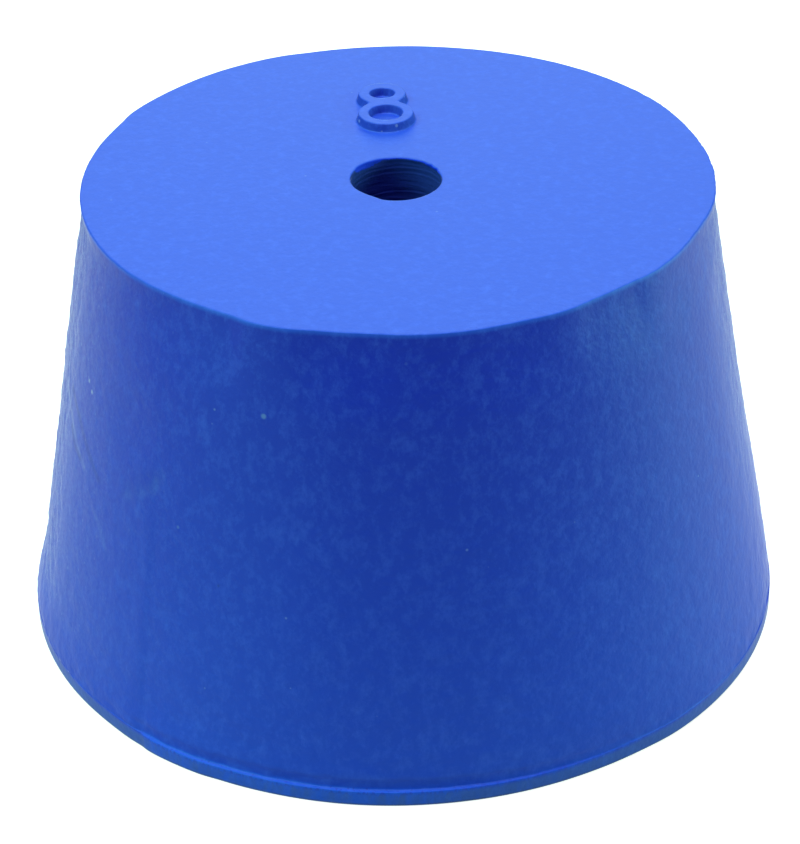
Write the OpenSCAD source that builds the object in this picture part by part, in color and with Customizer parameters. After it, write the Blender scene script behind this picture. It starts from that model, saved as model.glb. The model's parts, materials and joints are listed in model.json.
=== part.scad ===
// Solid rubber laboratory stopper: a straight taper with a thin lip round the wide end,
// one bore along the axis and a raised size figure on the narrow face.
// Stands on its wide end. The origin is the centre of that face and +Z runs up the bore.

/* [Body] */
// Diameter over the lip at the wide end
wide_d = 41; // [37:0.5:60]
// Diameter of the narrow end
narrow_d = 33; // [26:0.5:36]
// Height from one flat face to the other
body_h = 25; // [15:0.5:50]
// Radius of the soft edge round the narrow face
narrow_edge_r = 0.15; // [0.1:0.05:1]

/* [Bore] */
// Diameter of the hole along the axis
bore_d = 4.8; // [3:0.1:10]

/* [Lip] */
// Height of the lip round the wide end
lip_h = 0.9; // [0.7:0.05:2]
// Distance that the lip stands out from the taper
lip_step = 0.2; // [0.1:0.01:0.5]
// Radius of the lip's upper edge
lip_edge_r = 0.18; // [0.05:0.01:0.3]
// Radius of the edge round the wide face
foot_edge_r = 0.12; // [0.05:0.01:0.3]
// Height of the shallow groove above the lip
groove_h = 0.6; // [0.3:0.05:1.2]
// Depth of that groove below the taper
groove_depth = 0.07; // [0.03:0.01:0.15]

/* [Figure] */
// Height of the raised 8 across both its loops
figure_h = 5.2; // [4.6:0.1:5.4]
// Outer diameter of the loop near the bore
near_loop_d = 3; // [2.6:0.1:3.4]
// Outer diameter of the loop near the edge
far_loop_d = 2.65; // [2.2:0.05:3]
// Width of the stroke along its flat top
stroke_w = 0.6; // [0.4:0.05:0.7]
// Height that the figure stands above the narrow face
relief_h = 0.45; // [0.2:0.05:0.6]
// Lean of the stroke's walls, in degrees from upright
draft_angle = 12; // [5:1:22]
// Distance from the bore's wall to the figure
figure_gap = 3.1; // [1:0.1:4]
// Distance of the near loop to the side of the bore's centre line
figure_offset = -0.5; // [-3:0.1:3]
// Turn of the figure anticlockwise, in degrees
figure_turn = 4; // [-30:1:30]

/* [Hidden] */
$fn = 180;

rubber_blue = [0.16, 0.33, 0.8];
wide_r = wide_d / 2;
narrow_r = narrow_d / 2;
bore_r = bore_d / 2;
neck_r = wide_r - lip_step;
cut_margin = 1;
arc_overlap = 1.004;

// Radius of the taper at a height above the wide face
function taper_r(z) = neck_r + (narrow_r - neck_r) * (z - lip_h) / (body_h - lip_h);

groove_r = (groove_h * groove_h / 4 + groove_depth * groove_depth) / (2 * groove_depth);
groove_mid_z = lip_h + groove_h / 2;

near_r = near_loop_d / 2;
far_r = far_loop_d / 2;
loop_spacing = figure_h - near_r - far_r;
figure_y = bore_r + figure_gap + near_r;
// Depth that the strokes run on into the body, which fuses them to it
figure_root = 0.2;

function unit(v) = v / norm(v);

// What comes off a corner of an outline, between its two neighbours, to leave it round.
// The arc is a hair larger than the tangent one, so that it crosses both sides cleanly.
module corner_waste(corner, before, after, r) {
    to_before = unit(before - corner);
    to_after = unit(after - corner);
    inward = unit(to_before + to_after);
    half_angle = acos(to_before * to_after) / 2;
    tangent_length = r / tan(half_angle);
    centre = corner + inward * r / sin(half_angle);
    difference() {
        polygon([
            corner - inward * r,
            corner + to_before * tangent_length,
            centre,
            corner + to_after * tangent_length
        ]);
        translate(centre) circle(r = r * arc_overlap);
    }
}

// Half of the body's section, from the axis out
module half_section() {
    axis_foot = [0, 0];
    foot_corner = [wide_r, 0];
    lip_corner = [wide_r, lip_h];
    neck_corner = [neck_r, lip_h];
    narrow_corner = [narrow_r, body_h];
    axis_top = [0, body_h];
    difference() {
        polygon([axis_foot, foot_corner, lip_corner, neck_corner, narrow_corner, axis_top]);
        corner_waste(foot_corner, axis_foot, lip_corner, foot_edge_r);
        corner_waste(lip_corner, foot_corner, neck_corner, lip_edge_r);
        corner_waste(narrow_corner, neck_corner, axis_top, narrow_edge_r);
        groove_section();
    }
}

// The groove's arc, kept above the lip's ledge
module groove_section() {
    intersection() {
        translate([taper_r(groove_mid_z) - groove_depth + groove_r, groove_mid_z]) circle(r = groove_r);
        translate([0, lip_h]) square([wide_d, body_h]);
    }
}

// One loop of the figure, with a flat top and leaning walls
module figure_loop(outer_r) {
    inner_r = outer_r - stroke_w;
    lean = tan(draft_angle) * (relief_h + figure_root);
    rotate_extrude() polygon([
        [inner_r - lean, -figure_root],
        [outer_r + lean, -figure_root],
        [outer_r, relief_h],
        [inner_r, relief_h]
    ]);
}

module size_figure() {
    translate([figure_offset, figure_y, body_h]) rotate(figure_turn) {
        figure_loop(near_r);
        translate([0, loop_spacing, 0]) figure_loop(far_r);
    }
}

module stopper() {
    color(rubber_blue) {
        difference() {
            rotate_extrude() half_section();
            translate([0, 0, -cut_margin]) cylinder(h = body_h + 2 * cut_margin, r = bore_r);
        }
        size_figure();
    }
}

stopper();
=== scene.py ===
import json
import math
from types import SimpleNamespace

import bpy
import numpy as np
from mathutils import Matrix, Vector
from mathutils.geometry import delaunay_2d_cdt


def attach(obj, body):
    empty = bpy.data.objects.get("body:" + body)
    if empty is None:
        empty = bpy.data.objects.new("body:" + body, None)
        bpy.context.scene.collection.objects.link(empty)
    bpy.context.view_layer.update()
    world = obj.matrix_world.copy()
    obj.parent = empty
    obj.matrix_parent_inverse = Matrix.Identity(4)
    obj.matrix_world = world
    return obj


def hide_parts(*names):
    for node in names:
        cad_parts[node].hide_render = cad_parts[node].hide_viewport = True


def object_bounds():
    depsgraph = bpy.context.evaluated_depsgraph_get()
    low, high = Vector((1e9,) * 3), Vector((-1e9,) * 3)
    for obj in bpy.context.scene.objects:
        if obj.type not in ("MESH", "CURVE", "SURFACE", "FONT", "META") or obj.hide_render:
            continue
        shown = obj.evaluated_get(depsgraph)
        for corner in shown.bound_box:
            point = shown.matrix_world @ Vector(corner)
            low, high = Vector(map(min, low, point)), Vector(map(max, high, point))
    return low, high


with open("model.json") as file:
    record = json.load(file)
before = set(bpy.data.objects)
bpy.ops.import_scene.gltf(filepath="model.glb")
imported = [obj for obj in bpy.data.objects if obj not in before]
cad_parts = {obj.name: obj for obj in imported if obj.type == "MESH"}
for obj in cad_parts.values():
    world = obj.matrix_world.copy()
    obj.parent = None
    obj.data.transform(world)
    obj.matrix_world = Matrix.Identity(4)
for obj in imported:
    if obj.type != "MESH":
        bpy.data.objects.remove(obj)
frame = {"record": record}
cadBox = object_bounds()
mm = 0.001

# sizes that come with the frame
boreMount = next(m for m in frame["record"]["mounts"] if m["name"] == "bore")
boreRadius = boreMount["dims"]["r_mm"] * mm
bodyHeight = boreMount["dims"]["length_mm"] * mm
wideRadius = (cadBox[1].x - cadBox[0].x) / 2
figureRelief = cadBox[1].z - bodyHeight

view = {
    "elevation": 30.934,   # degrees above the bench
    "distance": 157.7 * mm,   # from the middle of the stopper
    "tiltDown": 0.737,   # degrees past the middle of the stopper
    "pan": -0.022,
    "roll": -1.096,
    "lens": 124.16,
}


def makeCamera():
    rise = math.radians(view["elevation"])
    pitch = math.radians(view["elevation"] + view["tiltDown"])
    roll = math.radians(view["roll"])
    middle = Vector((0, 0, bodyHeight / 2))
    place = middle + Vector((0, -math.cos(rise), math.sin(rise))) * view["distance"]
    pan = math.radians(view["pan"])
    forward = Vector((math.cos(pitch) * math.sin(pan), math.cos(pitch) * math.cos(pan), -math.sin(pitch)))
    level = Vector((math.cos(pan), -math.sin(pan), 0))
    right = level * math.cos(roll) + level.cross(forward) * math.sin(roll)
    camera = bpy.data.objects.new("camera", bpy.data.cameras.new("camera"))
    bpy.context.scene.collection.objects.link(camera)
    turn = Matrix((right, right.cross(forward), -forward)).transposed().to_4x4()
    camera.matrix_world = Matrix.Translation(place) @ turn
    camera.data.lens = view["lens"]
    camera.data.clip_start = 0.01
    camera.data.clip_end = 10
    bpy.context.scene.camera = camera


makeCamera()
print("camera placed")


# helpers for the node trees

def addNode(tree, kind, inputs=(), **settings):
    node = tree.nodes.new(kind)
    for name, value in settings.items():
        setattr(node, name, value)
    for place, value in dict(inputs).items():
        if isinstance(value, bpy.types.NodeSocket):
            tree.links.new(value, node.inputs[place])
        else:
            node.inputs[place].default_value = value
    return node


def maths(tree, operation, *values, clamp=False):
    node = addNode(tree, "ShaderNodeMath", enumerate(values), operation=operation, use_clamp=clamp)
    return node.outputs[0]


def smoothRange(tree, value, start, end, low=0.0, high=1.0):
    settings = {"Value": value, "From Min": start, "From Max": end, "To Min": low, "To Max": high}
    node = addNode(tree, "ShaderNodeMapRange", settings, interpolation_type="SMOOTHSTEP")
    return node.outputs["Result"]


def noise(tree, place, size, seed, detail=0.0, roughness=0.5):
    # signed, about -1 to 1; size is the width of a lump in metres
    settings = {"Vector": place, "W": seed, "Scale": 1 / size, "Detail": detail, "Roughness": roughness}
    node = addNode(tree, "ShaderNodeTexNoise", settings, noise_dimensions="4D")
    return maths(tree, "MULTIPLY_ADD", node.outputs[0], 2.0, -1.0)


def vectors(tree, operation, first, second):
    node = addNode(tree, "ShaderNodeVectorMath", {0: first, 1: second}, operation=operation)
    return node.outputs["Value" if operation in ("DISTANCE", "DOT_PRODUCT") else "Vector"]


def scaled(tree, vector, factor):
    return addNode(tree, "ShaderNodeVectorMath", {0: vector, "Scale": factor}, operation="SCALE").outputs[0]


def roundAndUp(tree, place):
    # a place taken apart: its parts, its height, its distance from the axis and the way outwards
    split = addNode(tree, "ShaderNodeSeparateXYZ", {0: place}).outputs
    flat = addNode(tree, "ShaderNodeCombineXYZ", {"X": split["X"], "Y": split["Y"]}).outputs[0]
    outwards = addNode(tree, "ShaderNodeVectorMath", {0: flat}, operation="NORMALIZE").outputs[0]
    radius = addNode(tree, "ShaderNodeVectorMath", {0: flat}, operation="LENGTH").outputs["Value"]
    return split, split["Z"], radius, outwards


def slanted(tree, split, stretch):
    # a place whose second part runs across the slanted marks and whose third part runs along them
    across = maths(tree, "MULTIPLY_ADD", split["Y"], 0.42, maths(tree, "MULTIPLY", split["Z"], 0.9))
    along = maths(tree, "MULTIPLY_ADD", split["Y"], -0.9, maths(tree, "MULTIPLY", split["Z"], 0.42))
    along = maths(tree, "MULTIPLY", along, stretch)
    return addNode(tree, "ShaderNodeCombineXYZ", {"X": split["X"], "Y": across, "Z": along}).outputs[0]


def roundTheAxis(tree, turn, points, reach):
    # a curve over the whole turn, from (degrees, value) pairs; values stay within +-reach
    node = addNode(tree, "ShaderNodeFloatCurve", {"Value": turn})
    curve = node.mapping.curves[0]
    spots = [((degrees + 180) / 360, 0.5 + value / (2 * reach)) for degrees, value in points]
    curve.points[0].location = spots[0]
    curve.points[1].location = spots[-1]
    for spot in spots[1:-1]:
        curve.points.new(*spot)
    for point in curve.points:
        point.handle_type = "AUTO_CLAMPED"
    node.mapping.update()
    return maths(tree, "MULTIPLY_ADD", node.outputs[0], 2 * reach, -reach)


# outline of the body, from the narrow face down to the foot

body = {
    "narrowRadius": 16.5 * mm,   # where the taper meets the narrow face
    "rimEdge": 0.09 * mm,   # edge round the narrow face
    "lipHeight": 0.9 * mm,
    "lipStep": 0.2 * mm,   # how far the lip stands out
    "lipEdge": 0.08 * mm,
    "footEdge": 0.12 * mm,
    "grooveHeight": 0.6 * mm,   # shallow groove above the lip
    "grooveDepth": 0.05 * mm,
    "mouthEdge": 0.1 * mm,   # at both ends of the bore
    "segments": 640,
    "boreSegments": 130,
    "edgeRows": 7,
    "sideRows": 82,
    "boreRows": 24,
    "ringRows": 56,   # more rows near the narrow face, where the cut rings of the bore show
    "ringDepth": 3.2 * mm,
}


def arc(centre, radius, start, end, rows):
    turns = np.radians(np.linspace(start, end, rows))
    return [(centre[0] + radius * math.cos(t), centre[1] + radius * math.sin(t)) for t in turns]


def straight(start, end, rows):
    # rows lie a little closer together towards both ends
    even = np.linspace(0, 1, rows + 2)[1:-1]
    shares = 0.65 * even + 0.35 * (0.5 - 0.5 * np.cos(np.pi * even))
    return [(start[0] + (end[0] - start[0]) * s, start[1] + (end[1] - start[1]) * s) for s in shares]


def sideOutline():
    b = body
    neckRadius = wideRadius - b["lipStep"]
    run = neckRadius - b["narrowRadius"]
    rise = bodyHeight - b["lipHeight"]
    lean = math.atan2(run, rise)

    def taper(height):
        return neckRadius - run * (height - b["lipHeight"]) / rise

    rimCentre = (b["narrowRadius"] - b["rimEdge"] * (1 - math.sin(lean)) / math.cos(lean),
                 bodyHeight - b["rimEdge"])
    rim = arc(rimCentre, b["rimEdge"], 90, math.degrees(lean), b["edgeRows"])
    half = b["grooveHeight"] / 2
    grooveRadius = (half ** 2 + b["grooveDepth"] ** 2) / (2 * b["grooveDepth"])
    middle = b["lipHeight"] + half
    grooveCentre = (taper(middle) - b["grooveDepth"] + grooveRadius, middle)
    spread = math.degrees(math.asin(half / grooveRadius))
    groove = arc(grooveCentre, grooveRadius, 180 - spread, 180 + spread, b["edgeRows"] + 4)
    centre = (wideRadius - b["lipEdge"], b["lipHeight"] - b["lipEdge"])
    lip = arc(centre, b["lipEdge"], 90, 0, b["edgeRows"])
    foot = arc((wideRadius - b["footEdge"], b["footEdge"]), b["footEdge"], 0, -90, b["edgeRows"] - 2)
    return (rim + straight(rim[-1], groove[0], b["sideRows"]) + groove + lip
            + straight(lip[-1], foot[0], 3) + foot)


def boreOutline():
    edge = body["mouthEdge"]
    top = arc((boreRadius + edge, bodyHeight - edge), edge, 90, 180, 5)
    low = arc((boreRadius + edge, edge), edge, 180, 270, 5)
    deep = (boreRadius, bodyHeight - body["ringDepth"])
    rings = [(boreRadius, h) for h in np.linspace(deep[1], top[-1][1], body["ringRows"])]
    return low[::-1] + straight(low[0], deep, body["boreRows"]) + rings + top[::-1][1:]


def lipFill(radius, height):
    # how far a point moves out where the lip dies away and the taper runs on down
    if height < body["lipHeight"] - body["lipEdge"] or height > bodyHeight - body["rimEdge"]:
        return 0
    share = max(height - body["lipHeight"], 0) / (bodyHeight - body["lipHeight"])
    return max(wideRadius + (body["narrowRadius"] - wideRadius) * share - radius, 0)


def sectionObject(name, outline, pathRadius, fills):
    # the revolve lays x outwards from its path and y downwards
    mesh = bpy.data.meshes.new(name)
    points = [(radius - pathRadius, -height, 0) for radius, height in outline]
    mesh.from_pydata(points, [(i, i + 1) for i in range(len(points) - 1)], [])
    mesh.attributes.new("lipFill", "FLOAT", "POINT").data.foreach_set("value", fills)
    return bpy.data.objects.new(name, mesh)


# raised figure 8 on the narrow face: two loops that run into one another at the waist

figure = {
    "nearLoop": (-0.5 * mm, 6.95 * mm),
    "nearRadius": 1.52 * mm,   # outside, along the flat top
    "nearHole": (0.88 * mm, 0.9 * mm),
    "farLoop": (-0.69 * mm, 9.38 * mm),
    "farRadius": 1.33 * mm,
    "farHole": (0.65 * mm, 0.58 * mm),
    "wall": (-0.1 * mm, 0.07 * mm),   # from the foot of the wall in to the flat top
    "wallRings": 6,
    "wallGrain": (0.009 * mm, 0.006 * mm),   # flutes and pits left by the engraved mould
    "waistRound": 0.7 * mm,
    "outerPoints": 220,
    "holePoints": 100,
    "besideWall": 0.06 * mm,   # rings that keep the floor and the flat top crisp
    "floorRing": 0.4,   # share of a hole, for one more ring in its middle
}


def loopReach(centre, radius, turns):
    # how far a ray from the origin goes before it leaves a round loop
    along = centre[0] * np.cos(turns) + centre[1] * np.sin(turns)
    return along + np.sqrt(np.maximum(along ** 2 - centre[0] ** 2 - centre[1] ** 2 + radius ** 2, 0))


def ellipse(centre, across, along, count):
    turns = np.linspace(0, 2 * np.pi, count, endpoint=False)
    return centre[0] + across * np.cos(turns), centre[1] + along * np.sin(turns)


def figureRings():
    f = figure
    near, far = Vector(f["nearLoop"]), Vector(f["farLoop"])
    waist = near.lerp(far, 0.5)
    holes = ((near, f["nearHole"]), (far, f["farHole"]))
    turns = np.linspace(0, 2 * np.pi, f["outerPoints"], endpoint=False)
    random = np.random.default_rng(8)

    def grain(count):
        return np.clip(random.normal(0, 1, count), -1.8, 1.8)

    flutes = [grain(f["outerPoints"])] + [grain(f["holePoints"]) for _ in holes]
    rings = []
    foot, top = f["wall"]
    insets = [foot - f["besideWall"], *np.linspace(foot, top, f["wallRings"]), top + f["besideWall"]]
    for inset in insets:
        share = min(max((inset - foot) / (top - foot), 0), 1)
        lift = figureRelief * share * share * (3 - 2 * share)
        belly = math.sin(math.pi * share)
        rough = [(flute * f["wallGrain"][0] + grain(len(flute)) * f["wallGrain"][1]) * belly
                 for flute in flutes]
        nearReach = loopReach(near - waist, f["nearRadius"] - inset, turns)
        farReach = loopReach(far - waist, f["farRadius"] - inset, turns)
        close = np.maximum(f["waistRound"] - np.abs(nearReach - farReach), 0)
        reach = np.maximum(nearReach, farReach) + close ** 2 / (4 * f["waistRound"])
        reach += rough[0]
        rings.append((waist.x + reach * np.cos(turns), waist.y + reach * np.sin(turns), lift))
        for (centre, hole), pits in zip(holes, rough[1:]):
            rings.append((*ellipse(centre, hole[0] + inset + pits, hole[1] + inset + pits,
                                   f["holePoints"]), lift))
    for centre, hole in holes:
        rings.append((*ellipse(centre, *(np.array(hole) * f["floorRing"]), f["holePoints"] // 4), 0))
    return rings


# the two end faces, triangulated between their edges

endFaces = {
    "edgeSteps": np.array((0.05, 0.13, 0.28, 0.55)) * mm,   # rings that follow each edge
    "spacing": 0.6 * mm,
    "clearOfFigure": (2.3 * mm, 3.2 * mm),
}


def endFace(height, innerRadius, outerRadius, rings, facesUp):
    points, edges, lifts = [], [], []

    def addRing(xs, ys, lift, joined=True):
        first, count = len(points), len(xs)
        points.extend(Vector((x / mm, y / mm)) for x, y in zip(xs, ys))
        lifts.extend([lift] * count)
        if joined:
            edges.extend((first + i, first + (i + 1) % count) for i in range(count))

    addRing(*ellipse((0, 0), outerRadius, outerRadius, body["segments"]), 0)
    addRing(*ellipse((0, 0), innerRadius, innerRadius, body["boreSegments"]), 0)
    for ring in rings:
        addRing(*ring)
    steps, spacing = endFaces["edgeSteps"], endFaces["spacing"]
    between = np.arange(innerRadius + steps[-1] + spacing, outerRadius - steps[-1], spacing)
    waist = Vector(figure["nearLoop"]).lerp(Vector(figure["farLoop"]), 0.5)
    clear = endFaces["clearOfFigure"]
    for radius in (*(innerRadius + steps), *between, *(outerRadius - steps)):
        fromEdge = min(radius - innerRadius, outerRadius - radius)
        gap = np.clip(fromEdge * 2, 0.25 * mm, spacing)
        xs, ys = ellipse((0, 0), radius, radius, int(2 * np.pi * radius / gap))
        if rings:
            away = np.hypot((xs - waist.x) / clear[0], (ys - waist.y) / clear[1]) > 1
            xs, ys = xs[away], ys[away]
        addRing(xs, ys, 0, joined=False)

    places, _, triangles, sources, _, _ = delaunay_2d_cdt(points, edges, [], 0, 1e-5, True)
    verts = [(p.x * mm, p.y * mm, height + lifts[s[0]]) for p, s in zip(places, sources)]
    kept = []
    for corners in triangles:
        centre = sum((places[i] for i in corners), Vector((0, 0))) / 3
        if centre.length * mm > innerRadius:
            kept.append(corners if facesUp else corners[::-1])
    return verts, kept


# the moulding's own unevenness, as (degrees round the axis, millimetres); -90 faces the camera

waver = {
    # the narrow end isn't quite round: straightish runs with a corner here and there
    "lean": [(-180, -0.14), (-165, -0.1), (-152, -0.07), (-141, -0.12), (-130, -0.25), (-121, -0.28),
             (-115, -0.07), (-108, -0.14), (-98, -0.34), (-90, -0.22), (-78, -0.15), (-70, -0.23),
             (-62, -0.16), (-52, -0.33), (-45, -0.3), (-38, -0.13), (-26, -0.18), (-8, 0.01), (12, 0.01),
             (35, 0.16), (60, 0.12), (90, 0.06), (106, 0.1), (117, 0.27), (140, 0.17), (148, 0.15),
             (154, -0.03), (168, -0.12), (180, -0.14)],
    "leanReach": (5 * mm, 2.5 * mm),   # down the side and in from the edge
    "rimChips": 0.09 * mm,
    "chipWidth": 0.7 * mm,
    "chipTurn": [(-180, 0.5), (-130, 0.6), (-90, 0.4), (-40, 0.6), (-25, 1), (45, 1), (60, 0.3),
                 (150, 0.2), (180, 0.5)],
    "chipReach": (0.4 * mm, 0.7 * mm),
    "foot": [(-180, 0), (-142, 0.01), (-135, 0.06), (-131.5, 0.07), (-130, 0.16), (-122, 0.16),
             (-118, 0.09), (-110, 0.08), (-94, 0.05), (-80, -0.02), (-68, -0.08), (-58, -0.11),
             (-50, -0.05), (-42, 0), (-10, -0.04), (40, 0.06), (90, -0.04), (140, 0.05), (180, 0)],
    "footReach": (3 * mm, 4 * mm),
    "mouth": [(-180, -0.02), (-155, -0.06), (-127, -0.12), (-105, 0.05), (-80, 0.07), (-45, 0.02),
              (-5, -0.04), (20, -0.1), (27, -0.03), (33, -0.09), (40, -0.02), (46, -0.07), (54, -0.01),
              (60, -0.05), (85, -0.02), (98, -0.03), (104, 0.01), (112, 0.02), (126, 0.04), (140, 0.06),
              (149, 0.04), (154, -0.01), (180, -0.02)],
    "mouthReach": (0.3 * mm, 0.8 * mm),
    # how much of the lip stands out: whole in front, worn down on the right and past a nick on the left
    "lip": [(-180, 0), (-160, 0), (-146, 0.05), (-134, 0.15), (-131, 0.7), (-118, 0.75), (-110, 0.85),
            (-96, 0.85), (-88, 0.9), (-76, 0.7), (-66, 0.5), (-56, 0.25), (-44, 0.1), (0, 0.15),
            (40, 0.5), (80, 0.35), (120, 0.6), (150, 0.2), (180, 0)],
    "lipChatter": 0.4,   # share of the lip, in short scallops along its edge
    "chatterWidth": 0.8 * mm,
    # where the ridge of the lip, and the back of the bore's mouth, show fresh blue rubber, painted brighter
    # than the skin: partly painted light along those lit edges
    "freshAndLitLip": [(-180, 0), (-134, 0), (-131, 0.9), (-122, 1), (-98, 1), (-86, 0.85), (-77, 0.5),
                 (-66, 0.45), (-54, 0.35), (-46, 0), (30, 0.1), (70, 0.6), (110, 0.7), (140, 0.2),
                 (180, 0)],
    "freshAndLitMouth": [(-180, 0), (5, 0), (15, 0.4), (40, 0.6), (60, 0.35), (92, 0.3), (110, 0.5), (135, 1),
                   (146, 0.9), (155, 0.2), (160, 0), (180, 0)],
    "sideSwell": 0.04 * mm,
    "faceSwell": 0.012 * mm,
    "swellWidth": (9 * mm, 5 * mm),   # on the side and on the face
    "cutRings": (0.035 * mm, 0.1 * mm, 0.5 * mm),   # depth, spacing and rise of the spiral in the bore
    "scuff": 0.15 * mm,   # torn, rippled skin on the left of the side, and less of it on the right
    "scuffWidth": 0.5 * mm,
    "scuffStretch": 0.45,
    "scuffTurn": [(-180, 1), (-168, 0.85), (-158, 0.4), (-146, 0.2), (-128, 0.05), (-110, 0), (-32, 0),
                  (-20, 0.25), (-10, 0.6), (4, 0.7), (14, 0.4), (24, 0), (150, 0), (165, 0.45), (180, 1)],
    "scuffSink": 0.25 * mm,
    "scuffHeight": ((1.2 * mm, 4 * mm), (3 * mm, 15 * mm)),   # where it sets in, left and right
    # dents: degrees, height and width in mm, depth in mm
    "dents": [(-139, 17.3, 2.6, 0.045), (-15.5, 20.7, 2.2, 0.05), (-35, 22.6, 1.5, 0.03),
              (-118, 9.5, 4.5, 0.03), (-61, 12.5, 5, 0.03)],
    "seed": 8.0,
}


def mouldedBodyTree():
    tree = bpy.data.node_groups.new("mouldedBody", "GeometryNodeTree")
    face = tree.interface
    face.new_socket("End Faces", in_out="INPUT", socket_type="NodeSocketGeometry")
    for name, kind in (("Side Section", "Object"), ("Side Path Radius", "Float"),
                       ("Segments", "Int"), ("Bore Section", "Object"),
                       ("Bore Path Radius", "Float"), ("Bore Segments", "Int"),
                       ("Rim Chips", "Float"), ("Lip Chatter", "Float"), ("Side Swell", "Float"),
                       ("Face Swell", "Float"), ("Ring Depth", "Float"), ("Ring Spacing", "Float"),
                       ("Ring Rise", "Float"), ("Scuff", "Float"), ("Scuff Sink", "Float"),
                       ("Seed", "Float"), ("Material", "Material")):
        face.new_socket(name, in_out="INPUT", socket_type="NodeSocket" + kind)
    face.new_socket("Geometry", in_out="OUTPUT", socket_type="NodeSocketGeometry")
    given = tree.nodes.new("NodeGroupInput").outputs

    def revolve(section, radius, segments):
        outline = addNode(tree, "GeometryNodeObjectInfo", {"Object": given[section]})
        profile = addNode(tree, "GeometryNodeMeshToCurve", {"Mesh": outline.outputs["Geometry"]})
        path = addNode(tree, "GeometryNodeCurvePrimitiveCircle",
                       {"Radius": given[radius], "Resolution": given[segments]})
        swept = addNode(tree, "GeometryNodeCurveToMesh",
                        {"Curve": path.outputs["Curve"], "Profile Curve": profile.outputs["Curve"]})
        return swept.outputs["Mesh"]

    joined = tree.nodes.new("GeometryNodeJoinGeometry")
    for shell in (given["End Faces"], revolve("Side Section", "Side Path Radius", "Segments"),
                  revolve("Bore Section", "Bore Path Radius", "Bore Segments")):
        tree.links.new(shell, joined.inputs[0])
    welded = addNode(tree, "GeometryNodeMergeByDistance",
                     {"Geometry": joined.outputs[0], "Distance": 2e-6})

    place = tree.nodes.new("GeometryNodeInputPosition").outputs[0]
    split, height, radius, outwards = roundAndUp(tree, place)
    azimuth = maths(tree, "ARCTAN2", split["Y"], split["X"])
    turn = maths(tree, "MULTIPLY_ADD", azimuth, 1 / (2 * math.pi), 0.5)
    seed = given["Seed"]

    def waveRound(name, top):
        wave = roundTheAxis(tree, turn, waver[name], top)
        return maths(tree, "MULTIPLY", wave, mm)

    def fade(downwards, inwards):
        return maths(tree, "MULTIPLY", smoothRange(tree, height, *downwards),
                     smoothRange(tree, radius, *inwards))

    down, inward = waver["leanReach"]
    narrow = body["narrowRadius"]
    lean = maths(tree, "MULTIPLY", waveRound("lean", 0.4),
                 fade((bodyHeight - down, bodyHeight), (narrow - inward, narrow - 0.2 * mm)))
    down, inward = waver["chipReach"]
    rimFade = fade((bodyHeight - down, bodyHeight - 0.1 * mm), (narrow - inward, narrow - 0.2 * mm))
    chips = noise(tree, place, waver["chipWidth"], seed, 3.0, 0.7)
    chips = maths(tree, "MULTIPLY", chips, given["Rim Chips"])
    chips = maths(tree, "MULTIPLY", chips, roundTheAxis(tree, turn, waver["chipTurn"], 1.0))
    rim = maths(tree, "MULTIPLY", chips, rimFade)

    up, inward = waver["footReach"]
    footFade = fade((up, 0.8 * mm), (wideRadius - inward, wideRadius - 0.5 * mm))
    foot = maths(tree, "MULTIPLY", waveRound("foot", 0.2), footFade)

    down, outward = waver["mouthReach"]
    mouthFade = fade((bodyHeight - down, bodyHeight - 0.1 * mm),
                     (boreRadius + outward, boreRadius + 0.1 * mm))
    mouth = maths(tree, "MULTIPLY", waveRound("mouth", 0.2), mouthFade)

    scallops = maths(tree, "MULTIPLY", noise(tree, place, waver["chatterWidth"], seed, 2.0, 0.6),
                     given["Lip Chatter"])
    standing = maths(tree, "ADD", roundTheAxis(tree, turn, waver["lip"], 1.0), scallops)
    missing = maths(tree, "SUBTRACT", 0.97, maths(tree, "MINIMUM", standing, 0.95))
    fill = addNode(tree, "GeometryNodeInputNamedAttribute", {"Name": "lipFill"}, data_type="FLOAT")
    lip = maths(tree, "MULTIPLY", missing, fill.outputs["Attribute"])

    sideWidth, faceWidth = waver["swellWidth"]
    swell = maths(tree, "MULTIPLY", noise(tree, place, sideWidth, seed, 1.0), given["Side Swell"])
    sideFade = smoothRange(tree, radius, boreRadius + 2 * mm, narrow - 2 * mm)
    side = maths(tree, "MULTIPLY", swell, sideFade)

    # rings cut by the drill: one slow noise along a spiral
    spiral = maths(tree, "MULTIPLY_ADD", turn, given["Ring Rise"], height)
    rise = maths(tree, "DIVIDE", spiral, given["Ring Spacing"])
    cut = addNode(tree, "ShaderNodeTexNoise", {"W": rise, "Scale": 1.0, "Detail": 1.0},
                  noise_dimensions="1D").outputs[0]
    cut = maths(tree, "MULTIPLY", maths(tree, "MULTIPLY_ADD", cut, 2.0, -1.0), given["Ring Depth"])
    inBore = fade((bodyHeight - 0.1 * mm, bodyHeight - 0.3 * mm),
                  (boreRadius + 0.05 * mm, boreRadius + 0.01 * mm))
    rings = maths(tree, "MULTIPLY", cut, inBore)

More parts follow.
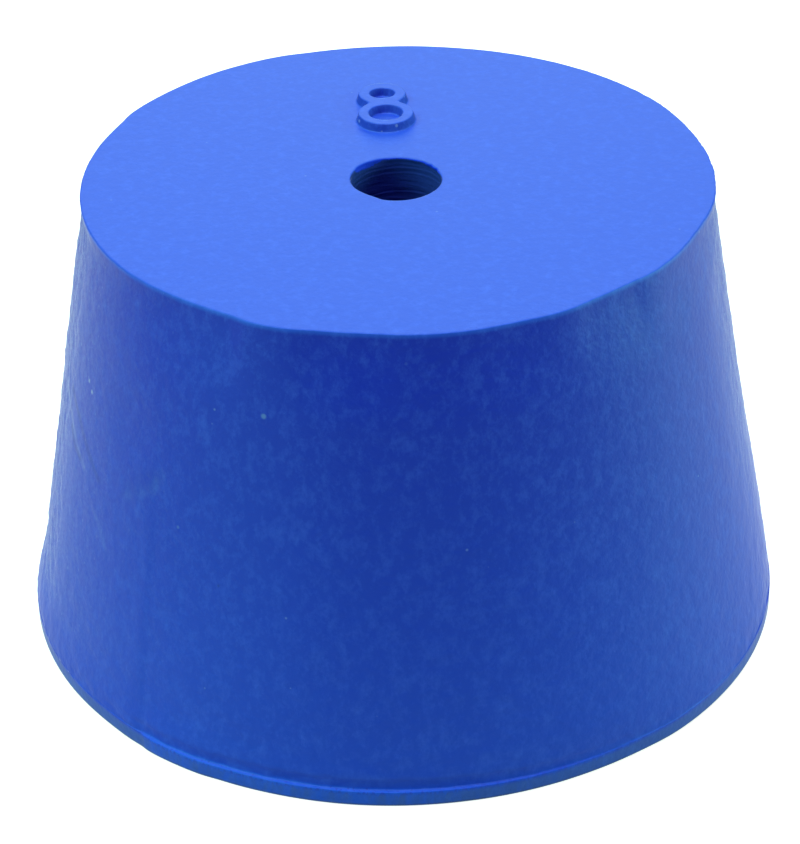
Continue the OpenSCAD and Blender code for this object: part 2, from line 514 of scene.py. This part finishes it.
    onSide = smoothRange(tree, radius, narrow - 1.5 * mm, narrow - 0.2 * mm)
    drawn = slanted(tree, split, waver["scuffStretch"])
    ripple = noise(tree, drawn, waver["scuffWidth"], seed, 2.0, 0.7)
    reach = roundTheAxis(tree, turn, waver["scuffTurn"], 1.0)
    onLeft = maths(tree, "LESS_THAN", split["X"], 0.0)
    leftFade, rightFade = (smoothRange(tree, height, *heights) for heights in waver["scuffHeight"])
    risen = addNode(tree, "ShaderNodeMix", {0: onLeft, 2: rightFade, 3: leftFade}).outputs[0]
    reach = maths(tree, "MULTIPLY", reach, risen)
    reach = maths(tree, "MULTIPLY", reach, smoothRange(tree, height, bodyHeight, bodyHeight - 0.8 * mm))
    torn = maths(tree, "SUBTRACT", maths(tree, "MULTIPLY", ripple, given["Scuff"]), given["Scuff Sink"])
    torn = maths(tree, "MULTIPLY", torn, reach)
    dents = 0.0
    for degrees, up, width, depth in waver["dents"]:
        out = wideRadius + (narrow - wideRadius) * up * mm / bodyHeight
        spot = (out * math.cos(math.radians(degrees)), out * math.sin(math.radians(degrees)), up * mm)
        away = vectors(tree, "DISTANCE", place, spot)
        hollow = smoothRange(tree, away, width * mm, 0.25 * width * mm, 0.0, depth * mm)
        dents = maths(tree, "ADD", dents, hollow)
    marks = maths(tree, "MULTIPLY", maths(tree, "SUBTRACT", torn, dents), onSide)

    shift = side
    for part in (lean, rim, foot, mouth, lip, rings, marks):
        shift = maths(tree, "ADD", shift, part)
    radial = scaled(tree, outwards, shift)
    lift = maths(tree, "MULTIPLY", noise(tree, place, faceWidth, seed, 1.0), given["Face Swell"])
    onTop = smoothRange(tree, height, bodyHeight - 1 * mm, bodyHeight)
    upward = addNode(tree, "ShaderNodeCombineXYZ", {"Z": maths(tree, "MULTIPLY", lift, onTop)}).outputs[0]
    offset = vectors(tree, "ADD", radial, upward)
    moved = addNode(tree, "GeometryNodeSetPosition", {"Geometry": welded.outputs[0], "Offset": offset})
    # masks that the rubber reads: worn skin on the side, and fresh blue with painted light on the lip and
    # the bore's mouth
    worn = maths(tree, "MULTIPLY", reach, onSide)
    low = maths(tree, "LESS_THAN", height, 5 * mm)
    onMouth, onLip = (roundTheAxis(tree, turn, waver[name], 1.0) for name in ("freshAndLitMouth", "freshAndLitLip"))
    fresh = addNode(tree, "ShaderNodeMix", {0: low, 2: onMouth, 3: onLip}).outputs[0]
    for name, value in (("worn", worn), ("fresh", fresh)):
        moved = addNode(tree, "GeometryNodeStoreNamedAttribute",
                        {"Geometry": moved.outputs[0], "Name": name, "Value": value}, data_type="FLOAT")
    smooth = addNode(tree, "GeometryNodeSetShadeSmooth",
                     {"Geometry": moved.outputs[0], "Shade Smooth": True})
    real = addNode(tree, "GeometryNodeRealizeInstances", {"Geometry": smooth.outputs[0]})
    done = addNode(tree, "GeometryNodeSetMaterial",
                   {"Geometry": real.outputs[0], "Material": given["Material"]})
    addNode(tree, "NodeGroupOutput", {"Geometry": done.outputs[0]})
    return tree


def makeStopper(material):
    side, bore = sideOutline(), boreOutline()
    wideFace = endFace(0, bore[0][0], side[-1][0], [], facesUp=False)
    narrowFace = endFace(bodyHeight, bore[-1][0], side[0][0], figureRings(), facesUp=True)
    first = len(wideFace[0])
    verts = wideFace[0] + narrowFace[0]
    faces = wideFace[1] + [tuple(i + first for i in corners) for corners in narrowFace[1]]
    mesh = bpy.data.meshes.new("mouldedStopper")
    mesh.from_pydata(verts, [], faces)
    stopper = bpy.data.objects.new("moulded_stopper", mesh)
    bpy.context.scene.collection.objects.link(stopper)

    sideSection = sectionObject("sideSection", side, wideRadius, [lipFill(*point) for point in side])
    boreSection = sectionObject("boreSection", bore, boreRadius, [0.0] * len(bore))
    values = {
        "Side Section": sideSection, "Side Path Radius": wideRadius,
        "Segments": body["segments"], "Bore Section": boreSection,
        "Bore Path Radius": boreRadius, "Bore Segments": body["boreSegments"],
        "Rim Chips": waver["rimChips"], "Lip Chatter": waver["lipChatter"],
        "Side Swell": waver["sideSwell"], "Face Swell": waver["faceSwell"],
        "Ring Depth": waver["cutRings"][0], "Ring Spacing": waver["cutRings"][1],
        "Ring Rise": waver["cutRings"][2], "Scuff": waver["scuff"], "Scuff Sink": waver["scuffSink"],
        "Seed": waver["seed"], "Material": material,
    }
    modifier = stopper.modifiers.new("mouldedBody", "NODES")
    modifier.node_group = mouldedBodyTree()
    for socket in modifier.node_group.interface.items_tree:
        if socket.in_out == "INPUT" and socket.name in values:
            modifier[socket.identifier] = values[socket.name]
    evaluated = stopper.evaluated_get(bpy.context.evaluated_depsgraph_get())
    stopper.data = bpy.data.meshes.new_from_object(evaluated)
    stopper.modifiers.remove(modifier)
    for section in (sideSection, boreSection):
        bpy.data.objects.remove(section)
    return stopper


# shader groups: each puts out a mask or a value that the rubber's own material uses

def shaderGroup(name, inputs, output):
    group = bpy.data.node_groups.new(name, "ShaderNodeTree")
    for socketName, kind in inputs.items():
        group.interface.new_socket(socketName, in_out="INPUT", socket_type="NodeSocket" + kind)
    group.interface.new_socket(output, in_out="OUTPUT", socket_type="NodeSocketFloat")
    return group, group.nodes.new("NodeGroupInput").outputs


def mottleGroup():
    # lumps of a given width, signed
    group, given = shaderGroup("mottle", {"Vector": "Vector", "Width": "Float", "Detail": "Float",
                                          "Roughness": "Float", "Seed": "Float"}, "Value")
    group.interface.items_tree["Roughness"].default_value = 0.5
    scale = maths(group, "DIVIDE", 1.0, given["Width"])
    cloud = addNode(group, "ShaderNodeTexNoise", noise_dimensions="4D",
                    inputs={"Vector": given["Vector"], "W": given["Seed"], "Scale": scale,
                            "Detail": given["Detail"], "Roughness": given["Roughness"]})
    signed = maths(group, "MULTIPLY_ADD", cloud.outputs[0], 2.0, -1.0)
    addNode(group, "NodeGroupOutput", {"Value": signed})
    return group


def strewnDotsGroup():
    # round dots strewn over the surface; share is how many of the places hold one
    group, given = shaderGroup("strewnDots", {"Vector": "Vector", "Spacing": "Float", "Width": "Float",
                                              "Share": "Float", "Seed": "Float"}, "Mask")
    moved = vectors(group, "ADD", given["Vector"], given["Seed"])
    scale = maths(group, "DIVIDE", 1.0, given["Spacing"])
    cells = addNode(group, "ShaderNodeTexVoronoi", {"Vector": moved, "Scale": scale})
    away = maths(group, "MULTIPLY", cells.outputs["Distance"], given["Spacing"])
    chance = addNode(group, "ShaderNodeSeparateColor", {0: cells.outputs["Color"]}).outputs
    radius = maths(group, "MULTIPLY", given["Width"], maths(group, "MULTIPLY_ADD", chance[1], 0.4, 0.2))
    dot = smoothRange(group, away, radius, maths(group, "MULTIPLY", radius, 0.4))
    picked = maths(group, "LESS_THAN", chance[0], given["Share"])
    addNode(group, "NodeGroupOutput", {"Mask": maths(group, "MULTIPLY", dot, picked)})
    return group


def nearestSpeckGroup():
    # distance to a chosen place, in radii of the speck there, unless an earlier speck is nearer
    group, given = shaderGroup("nearestSpeck", {"Vector": "Vector", "Place": "Vector", "Radius": "Float",
                                                "Before": "Float"}, "Nearest")
    away = vectors(group, "DISTANCE", given["Vector"], given["Place"])
    radii = maths(group, "DIVIDE", away, given["Radius"])
    addNode(group, "NodeGroupOutput", {"Nearest": maths(group, "MINIMUM", radii, given["Before"])})
    return group


def nearestLineGroup():
    # distance to the line between two chosen places, unless an earlier line is nearer
    group, given = shaderGroup("nearestLine", {"Vector": "Vector", "Start": "Vector", "End": "Vector",
                                               "Before": "Float"}, "Nearest")
    run = vectors(group, "SUBTRACT", given["End"], given["Start"])
    away = vectors(group, "SUBTRACT", given["Vector"], given["Start"])
    share = maths(group, "DIVIDE", vectors(group, "DOT_PRODUCT", away, run),
                  vectors(group, "DOT_PRODUCT", run, run), clamp=True)
    distance = vectors(group, "DISTANCE", away, scaled(group, run, share))
    addNode(group, "NodeGroupOutput", {"Nearest": maths(group, "MINIMUM", distance, given["Before"])})
    return group


# blue rubber

rubber = {
    "sideBlue": (0.004, 0.038, 0.53, 1),   # near the foot; the side grows darker from here towards the narrow end
    "neckBlue": (0.002, 0.01, 0.42, 1),   # near the narrow end
    # a lighter, greener copy of the side's blue: painted light from the overhead lamp on the narrow face
    "faceBlue": (0.01, 0.061, 0.575, 1),
    "faceDepth": (0.3 * mm, 0.05 * mm),   # below the narrow face, where its blue sets in and is full
    "ior": 1.44,
    "roughness": (0.5, 0.08, 0.35),   # of the skin, its swing with the bloom, and what cut walls add
    "glossTint": (0.55, 1, 1, 1),
    "sheen": (0.5, 0.15),   # weight and roughness of the dusty skin
    "sheenTint": (0.85, 1, 1, 1),

    "landBlue": (0.018, 0.062, 0.43, 1),   # trimmed edge of the lip, a little greyer
    "landHeight": (0.85 * mm, 0.65 * mm),
    "landReach": (1 * mm, 0.4 * mm),   # in from the lip's edge
    "freshCutAndLitBlue": (0.002, 0.062, 0.64, 1),   # where the lip and the bore's mouth were cut, brighter than the skin: along the lip's top edge partly a painted highlight
    "freshWidth": 0.45 * mm,
    "freshShare": (1.2, -0.55, 1.4),   # of bare patches: with the mask, without it, and their contrast
    "dripWidth": 0.16 * mm,   # upright teeth along every cut edge
    "dripStretch": 0.25,
    "ridgeTeeth": (0.5 * mm, 0.12 * mm),   # their length, and how much lower they start where the lip is fresh and painted brighter
    "ridgeHeight": ((0.86 * mm, 0.92 * mm), (1.05 * mm, 0.92 * mm)),   # from below and from above
    "ridgeReach": (0.35 * mm, 0.15 * mm),
    "footShadeBlue": (0.03, 0.055, 0.2, 1),   # painted contact shade: darker along the very foot, where it meets the bench
    "footTeeth": -0.05 * mm,
    "footHeight": (0.22 * mm, 0.02 * mm, 0.0, 0.8),   # where it sets in and is full, and how strong it gets

    "wallShadeBlue": (0.009, 0.036, 0.44, 1),   # walls of the figure, painted darker: painted shade on its steep walls
    "wallHeight": (0.02 * mm, 0.07 * mm),   # above the narrow face
    # painted shade: the bore's wall is painted darker than the skin
    "boreShadeBlue": (0.008, 0.028, 0.31, 1),
    "boreReach": (0.3 * mm, 0.2 * mm),   # out from the bore's wall
    "mouthCutAndLitBlue": (0.001, 0.03, 0.75, 1),   # torn edge of the bore's mouth, brighter than the skin: partly fresh cut rubber, partly painted light on the lit back rim of the bore
    "mouthDepth": 0.4 * mm,
    "mouthTeeth": 0.1 * mm,

    "bloomBlue": (0.06, 0.16, 0.83, 1),   # pale bloom that clouds the skin
    "bloomShare": 0.03,
    "bloomSwing": (0.48, 0.65),   # on the side and on the face
    "bloomWidth": 0.65 * mm,
    "bloomStretch": 0.7,

    "wornBlue": (0.13, 0.27, 0.6, 1),   # dull scuffs, and painted shade in the dark gaps between them where the lumps sink
    "gapShadeBlue": (0.01, 0.03, 0.12, 1),
    "wornShare": (0.15, 0.7),   # of scuffs: middle and swing
    "gapShadeShare": (-0.12, 0.7),
    "wornWidth": 0.22 * mm,
    "wornStretch": 0.45,
    "wornHeight": 0.02 * mm,

    "peelWidth": 0.34 * mm,
    "peelHeight": (0.016 * mm, 0.008 * mm),   # on the side and on the face
    "grainWidth": 0.09 * mm,
    "grainHeight": 0.0018 * mm,
    "dragWidth": 0.8 * mm,   # fine upright marks from pulling out of the mould
    "dragStretch": 0.05,
    "dragHeight": 0.004 * mm,

    # strewn dots: colour, strength, spacing, width, share and seed
    "dust": ((0.2, 0.32, 0.62, 1), 0.3, 1.1 * mm, 0.16 * mm, 0.22, 0.37),
    "grit": ((0.3, 0.42, 0.7, 1), 0.35, 0.4 * mm, 0.2 * mm, 0.5, 1.9),   # on worn skin and on walls

    "speckEdge": (1.3, 0.5),   # where a speck starts and is full, in its own radii
    "speckStrength": 0.7,
    "creaseSwing": 0.3,   # how much the bloom breaks the creases up
}

markColours = {
    "white": (0.75, 0.82, 0.9, 1),
    "pale": (0.1, 0.19, 0.5, 1),
    "soft": (0.2, 0.26, 0.5, 1),
    "dark": (0.004, 0.02, 0.16, 1),
    "shade": (0.003, 0.015, 0.26, 1),
    "red": (0.5, 0.02, 0.02, 1),
    "orange": (0.45, 0.14, 0.03, 1),
}

# specks that stand by themselves: degrees round the axis, height and width in mm
specks = {
    "white": [(-133.5, 2.9, 0.12), (-75.5, 3.2, 0.18), (-151.5, 2.4, 0.12), (-125.5, 0.1, 0.14),
              (-50.5, 0.5, 0.1), (-56, 1.4, 0.1)],
    "pale": [(-112.5, 20.4, 0.3), (-127.5, 13.2, 0.26), (-119, 3.5, 0.2), (-112.5, 2.7, 0.22),
             (-125.5, 1.9, 0.18), (-111.5, 1.5, 0.2), (-59, 4.6, 0.3), (-55.5, 2.5, 0.14),
             (-149, 4.2, 0.16), (-144, 7.9, 0.16), (-35, 8.7, 0.16), (-89, 23.6, 0.3)],
    "soft": [(-154, 17.7, 0.24), (-152.5, 17.3, 0.26), (-143.5, 13.3, 0.22), (-148.5, 8.1, 0.16),
             (-146, 6.2, 0.18), (-147.5, 3.6, 0.18), (-144.5, 2.6, 0.22)],
    "dark": [(-149.5, 8.8, 0.2), (-147.5, 7.3, 0.24), (-147, 6.5, 0.2), (-145, 3.1, 0.2), (-146, 2.2, 0.18),
             (-143, 1.8, 0.2), (-119.5, 10.8, 0.22), (-12, 20.4, 0.3)],
    "red": [(-119, 0.1, 0.18), (-157.5, 23.1, 0.2)],
    "orange": [(-167.5, 0.3, 0.2)],
}

# faint creases on the left, drawn in colour only: the shade lines are painted shade and the soft and pale
# lines painted light along each fold; colour, strength, width in mm, then degrees and height of each bend
creases = [
    ("soft", 0.22, 0.36, [(-166.5, 15.3), (-163, 14.9), (-159.5, 14.2), (-156.5, 13.5), (-153, 12.9)]),
    ("shade", 0.45, 0.36, [(-162, 16), (-157, 15.2), (-153.5, 14.4), (-150.5, 13.7), (-147.5, 13.1)]),
    ("shade", 0.5, 0.3, [(-160.5, 14), (-158, 13.4), (-155, 13.1)]),
    ("soft", 0.1, 0.4, [(-148.5, 11.2), (-146, 10.6), (-144, 9.8)]),
    ("shade", 0.14, 0.7, [(-139.5, 13.9), (-137, 14.4), (-135, 14.9), (-133.5, 15.3)]),
    ("pale", 0.1, 0.5, [(-139.5, 13.3), (-137, 13.8), (-134.5, 14.3), (-133, 14.7), (-131.5, 15.6)]),
]


def onTheSide(degrees, up):
    # the place on the side, or on the lip, at so many degrees and millimetres
    lowRadius = wideRadius - body["lipStep"]
    out = lowRadius + (body["narrowRadius"] - lowRadius) * up * mm / bodyHeight
    if up * mm < body["lipHeight"]:
        out = wideRadius
    turn = math.radians(degrees)
    return (out * math.cos(turn), out * math.sin(turn), up * mm)


def blend(tree, share, under, over):
    return addNode(tree, "ShaderNodeMix", {0: share, 6: under, 7: over}, data_type="RGBA").outputs[2]


def stretched(tree, place, upwards):
    return vectors(tree, "MULTIPLY", place, (1, 1, upwards))


def lumps(tree, mottle, place, width, seed, detail, roughness=0.5):
    inputs = {"Vector": place, "Width": width, "Seed": seed, "Detail": detail, "Roughness": roughness}
    return addNode(tree, "ShaderNodeGroup", inputs, node_tree=mottle).outputs[0]


def placesOnStopper(tree):
    # what the material knows of a point: its place, and masks from 0 to 1 for what it belongs to
    place = addNode(tree, "ShaderNodeTexCoord").outputs["Object"]
    split, height, radius = roundAndUp(tree, place)[:3]
    normal = addNode(tree, "ShaderNodeNewGeometry").outputs["Normal"]
    upwards = addNode(tree, "ShaderNodeSeparateXYZ", {0: normal}).outputs["Z"]
    underFace = smoothRange(tree, height, bodyHeight - 0.02 * mm, bodyHeight - 0.05 * mm)
    notFlat = maths(tree, "MAXIMUM", smoothRange(tree, upwards, 0.5, 0.2), underFace)
    byBore = smoothRange(tree, radius, *(boreRadius + out for out in rubber["boreReach"]))
    onFigure = smoothRange(tree, height, *(bodyHeight + up for up in rubber["wallHeight"]))
    return SimpleNamespace(
        place=place, split=split, height=height, radius=radius,
        inBore=maths(tree, "MULTIPLY", byBore, notFlat),
        onWall=maths(tree, "MULTIPLY", onFigure, smoothRange(tree, upwards, 0.85, 0.5)),
        onFace=smoothRange(tree, height, *(bodyHeight - down for down in rubber["faceDepth"])),
        worn=addNode(tree, "ShaderNodeAttribute", attribute_name="worn").outputs["Fac"],
        fresh=addNode(tree, "ShaderNodeAttribute", attribute_name="fresh").outputs["Fac"])


def skinColour(tree, at):
    rise = maths(tree, "DIVIDE", at.height, bodyHeight)
    colour = blend(tree, rise, rubber["sideBlue"], rubber["neckBlue"])
    # the narrow face gets its lighter copy of the blue: painted light
    return blend(tree, at.onFace, colour, rubber["faceBlue"])


def lipColour(tree, at, mottle, drips, colour):
    withMask, without, contrast = rubber["freshShare"]
    upright = stretched(tree, at.place, rubber["dripStretch"])
    patches = lumps(tree, mottle, upright, rubber["freshWidth"], 4.0, 3.0)
    bareness = maths(tree, "MULTIPLY_ADD", at.fresh, withMask, without)
    patches = maths(tree, "MULTIPLY_ADD", patches, contrast, bareness, clamp=True)
    patches = maths(tree, "MULTIPLY", patches, at.fresh)
    nearEdge = smoothRange(tree, at.radius, *(wideRadius - inward for inward in rubber["landReach"]))
    onLand = maths(tree, "MULTIPLY", smoothRange(tree, at.height, *rubber["landHeight"]), nearEdge)
    colour = blend(tree, onLand, colour, blend(tree, patches, rubber["landBlue"], rubber["freshCutAndLitBlue"]))

    # painted contact shade along the foot, with a toothed upper edge
    toothed = maths(tree, "MULTIPLY_ADD", drips, rubber["footTeeth"], at.height)
    colour = blend(tree, smoothRange(tree, toothed, *rubber["footHeight"]), colour, rubber["footShadeBlue"])

    # painted highlight: a band of brighter fresh blue along the lip's top edge, where it catches the
    # overhead light, with teeth hanging into the land
    teeth, lower = rubber["ridgeTeeth"]
    lowered = maths(tree, "MULTIPLY_ADD", at.fresh, lower, at.height)
    toothed = maths(tree, "MULTIPLY_ADD", drips, teeth, lowered)
    below, above = rubber["ridgeHeight"]
    onRidge = maths(tree, "MULTIPLY", smoothRange(tree, toothed, *below),
                    smoothRange(tree, at.height, *above))
    nearEdge = smoothRange(tree, at.radius, *(wideRadius - inward for inward in rubber["ridgeReach"]))
    onRidge = maths(tree, "MULTIPLY", onRidge, nearEdge)
    return blend(tree, maths(tree, "MULTIPLY", onRidge, at.fresh), colour, rubber["freshCutAndLitBlue"])


def bloomColour(tree, at, clouds, whole, colour):
    sideSwing, faceSwing = rubber["bloomSwing"]
    swing = maths(tree, "MULTIPLY_ADD", at.onFace, faceSwing - sideSwing, sideSwing)
    share = maths(tree, "MULTIPLY_ADD", clouds, swing, rubber["bloomShare"])
    return blend(tree, maths(tree, "MULTIPLY", share, whole, clamp=True), colour, rubber["bloomBlue"])


def wornColour(tree, at, scuffs, colour):
    # pale worn scuffs where the bumped lumps rise, and painted shade where they sink
    for name, sign, over in (("wornShare", 1.0, "wornBlue"), ("gapShadeShare", -1.0, "gapShadeBlue")):
        middle, swing = rubber[name]
        marks = maths(tree, "MULTIPLY_ADD", scuffs, sign * swing, middle, clamp=True)
        colour = blend(tree, maths(tree, "MULTIPLY", marks, at.worn), colour, rubber[over])
    return colour


def dottedColour(tree, at, colour):
    group = strewnDotsGroup()
    gritty = maths(tree, "MAXIMUM", at.worn, at.onWall)
    for name, where in (("dust", 1.0), ("grit", gritty)):
        dotBlue, strength, spacing, width, share, seed = rubber[name]
        inputs = {"Vector": at.place, "Spacing": spacing, "Width": width, "Share": share, "Seed": seed}
        mask = addNode(tree, "ShaderNodeGroup", inputs, node_tree=group).outputs[0]
        strength = maths(tree, "MULTIPLY", where, strength)
        colour = blend(tree, maths(tree, "MULTIPLY", mask, strength), colour, dotBlue)
    return colour


def creasedColour(tree, at, clouds, colour):
    group = nearestLineGroup()
    # creases drawn in colour alone: painted shade and painted light along each fold
    for name, strength, width, bends in creases:
        spots = [onTheSide(*bend) for bend in bends]
        nearest = 1.0
        for start, end in zip(spots, spots[1:]):
            inputs = {"Vector": at.place, "Start": start, "End": end, "Before": nearest}
            nearest = addNode(tree, "ShaderNodeGroup", inputs, node_tree=group).outputs[0]
        broken = maths(tree, "MULTIPLY_ADD", clouds, rubber["creaseSwing"], strength, clamp=True)
        line = maths(tree, "MULTIPLY", smoothRange(tree, nearest, width * mm, 0.0), broken)
        colour = blend(tree, line, colour, markColours[name])
    return colour


def speckledColour(tree, at, colour):
    group = nearestSpeckGroup()
    for name, places in specks.items():
        nearest = 100.0
        for degrees, up, width in places:
            inputs = {"Vector": at.place, "Place": onTheSide(degrees, up), "Radius": width / 2 * mm,
                      "Before": nearest}
            nearest = addNode(tree, "ShaderNodeGroup", inputs, node_tree=group).outputs[0]
        mask = smoothRange(tree, nearest, *rubber["speckEdge"])
        mask = maths(tree, "MULTIPLY", mask, rubber["speckStrength"])
        colour = blend(tree, mask, colour, markColours[name])
    return colour


def boreColour(tree, at, drips, colour):
    depth = maths(tree, "MULTIPLY_ADD", drips, rubber["mouthTeeth"], at.height)
    depth = maths(tree, "MULTIPLY_ADD", at.fresh, rubber["mouthDepth"], depth)
    mouthCutAndLit = smoothRange(tree, depth, *(bodyHeight + up for up in rubber["wallHeight"]))
    # painted shade down the bore, and the brighter mouth blue at the top of its back
    return blend(tree, at.inBore, colour, blend(tree, mouthCutAndLit, rubber["boreShadeBlue"], rubber["mouthCutAndLitBlue"]))


def skinRelief(tree, at, mottle, scuffs, whole):
    sidePeel, facePeel = rubber["peelHeight"]
    peel = maths(tree, "MULTIPLY", lumps(tree, mottle, at.place, rubber["peelWidth"], 5.0, 2.0),
                 maths(tree, "MULTIPLY_ADD", at.onFace, facePeel - sidePeel, sidePeel))
    grain = maths(tree, "MULTIPLY", lumps(tree, mottle, at.place, rubber["grainWidth"], 7.0, 1.0),
                  rubber["grainHeight"])
    drawn = stretched(tree, at.place, rubber["dragStretch"])
    drag = maths(tree, "MULTIPLY", lumps(tree, mottle, drawn, rubber["dragWidth"], 9.0, 2.0),
                 rubber["dragHeight"])
    drag = maths(tree, "MULTIPLY", drag, maths(tree, "SUBTRACT", 1.0, at.onFace))
    scuffed = maths(tree, "MULTIPLY", maths(tree, "MULTIPLY", scuffs, at.worn), rubber["wornHeight"])
    smooth = maths(tree, "ADD", maths(tree, "ADD", peel, grain), drag)
    return maths(tree, "MULTIPLY_ADD", smooth, whole, scuffed)


def rubberMaterial():
    material = bpy.data.materials.new("blueRubber")
    material.use_nodes = True
    tree = material.node_tree
    shader = tree.nodes["Principled BSDF"]
    mottle = mottleGroup()
    at = placesOnStopper(tree)
    whole = maths(tree, "SUBTRACT", 1.0, at.worn)
    tall = stretched(tree, at.place, rubber["bloomStretch"])
    clouds = lumps(tree, mottle, tall, rubber["bloomWidth"], 2.0, 5.0, 0.8)
    upright = stretched(tree, at.place, rubber["dripStretch"])
    drips = lumps(tree, mottle, upright, rubber["dripWidth"], 3.0, 1.0)
    drawn = slanted(tree, at.split, rubber["wornStretch"])
    scuffs = lumps(tree, mottle, drawn, rubber["wornWidth"], 6.0, 4.0, 0.75)

    colour = skinColour(tree, at)
    colour = lipColour(tree, at, mottle, drips, colour)
    # painted shade: the figure's steep walls are painted darker
    colour = blend(tree, at.onWall, colour, rubber["wallShadeBlue"])
    colour = bloomColour(tree, at, clouds, whole, colour)
    colour = wornColour(tree, at, scuffs, colour)
    colour = dottedColour(tree, at, colour)
    colour = creasedColour(tree, at, clouds, colour)
    colour = speckledColour(tree, at, colour)
    colour = boreColour(tree, at, drips, colour)
    tree.links.new(colour, shader.inputs["Base Color"])

    skinRough, swing, cutRough = rubber["roughness"]
    dull = maths(tree, "MULTIPLY", maths(tree, "MAXIMUM", at.inBore, at.onWall), cutRough)
    rough = maths(tree, "MULTIPLY_ADD", clouds, swing, maths(tree, "ADD", dull, skinRough))
    tree.links.new(rough, shader.inputs["Roughness"])
    height = skinRelief(tree, at, mottle, scuffs, whole)
    bump = addNode(tree, "ShaderNodeBump", {"Height": height, "Distance": 1.0})
    tree.links.new(bump.outputs[0], shader.inputs["Normal"])
    shader.inputs["IOR"].default_value = rubber["ior"]
    shader.inputs["Specular Tint"].default_value = rubber["glossTint"]
    shader.inputs["Sheen Weight"].default_value = rubber["sheen"][0]
    shader.inputs["Sheen Roughness"].default_value = rubber["sheen"][1]
    shader.inputs["Sheen Tint"].default_value = rubber["sheenTint"]
    return material


stopper = makeStopper(rubberMaterial())
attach(stopper, "root")
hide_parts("stopper")
print("stopper made:", len(stopper.data.polygons), "faces")


# bench and lights

studio = {
    "benchSize": 1.6,
    "benchGrey": (0.46, 0.56, 0.54, 1),
    "benchGlow": 0.75,   # lifts the bench to white for the camera
    "benchShine": 0.95,   # glow of the bench that only reflections see, more towards the back: a painted reflection of a bright sweep behind the stopper
    "shineRange": (-0.05, 0.03),   # from front to back
    "lightDistance": 0.6,
    # degrees round the stopper (-90 is the camera's side), degrees up, side in metres, watts and tint
    "lights": {
        "overhead": (0, 90, 0.45, 3.9, (1, 0.8, 1)),
        "leftHigh": (-180, 47, 0.3, 1.55, (0.78, 1.47, 0.87)),
        "leftFront": (-144, 16, 0.3, 0.86, (0.74, 1.62, 0.97)),
        "right": (0, 13, 0.3, 1.85, (1.0, 1.95, 1.04)),
        "back": (90, 30, 0.45, 1.2, (0.95, 1.2, 0.9)),
    },
}


def benchMaterial():
    material = bpy.data.materials.new("paleBench")
    material.use_nodes = True
    tree = material.node_tree
    shader = tree.nodes["Principled BSDF"]
    shader.inputs["Base Color"].default_value = studio["benchGrey"]
    shader.inputs["Roughness"].default_value = 0.9
    shader.inputs["Specular IOR Level"].default_value = 0
    ray = addNode(tree, "ShaderNodeLightPath").outputs
    place = addNode(tree, "ShaderNodeTexCoord").outputs["Object"]
    depth = addNode(tree, "ShaderNodeSeparateXYZ", {0: place}).outputs["Y"]
    # painted reflection: the bench glows for glossy rays only, brighter towards the back
    sweep = smoothRange(tree, depth, *studio["shineRange"], 0.0, studio["benchShine"])
    shine = maths(tree, "MULTIPLY", ray["Is Glossy Ray"], sweep)
    glow = maths(tree, "MULTIPLY_ADD", ray["Is Camera Ray"], studio["benchGlow"], shine)
    shader.inputs["Emission Color"].default_value = (1, 1, 1, 1)
    tree.links.new(glow, shader.inputs["Emission Strength"])
    return material


def makeStudio():
    size = studio["benchSize"] / 2
    mesh = bpy.data.meshes.new("bench")
    corners = [(-size, -size, 0), (size, -size, 0), (size, size, 0), (-size, size, 0)]
    mesh.from_pydata(corners, [], [(0, 1, 2, 3)])
    mesh.materials.append(benchMaterial())
    bench = bpy.data.objects.new("bench", mesh)
    bpy.context.scene.collection.objects.link(bench)

    middle = Vector((0, 0, bodyHeight / 2))
    for name, (around, up, side, power, tint) in studio["lights"].items():
        light = bpy.data.lights.new(name, "AREA")
        light.size = side
        light.energy = power
        light.color = tint
        lamp = bpy.data.objects.new(name, light)
        bpy.context.scene.collection.objects.link(lamp)
        around, up = math.radians(around), math.radians(up)
        away = Vector((math.cos(up) * math.cos(around), math.cos(up) * math.sin(around), math.sin(up)))
        lamp.location = middle + away * studio["lightDistance"]
        lamp.rotation_euler = away.to_track_quat("Z", "Y").to_euler()
        lamp.visible_camera = False

    world = bpy.data.worlds.new("studio")
    world.use_nodes = True
    backdrop = world.node_tree.nodes["Background"]
    backdrop.inputs["Color"].default_value = (1, 1, 1, 1)
    seen = addNode(world.node_tree, "ShaderNodeLightPath").outputs["Is Camera Ray"]
    world.node_tree.links.new(seen, backdrop.inputs["Strength"])
    bpy.context.scene.world = world
    bpy.context.scene.view_settings.view_transform = "Standard"


makeStudio()
print("studio made")
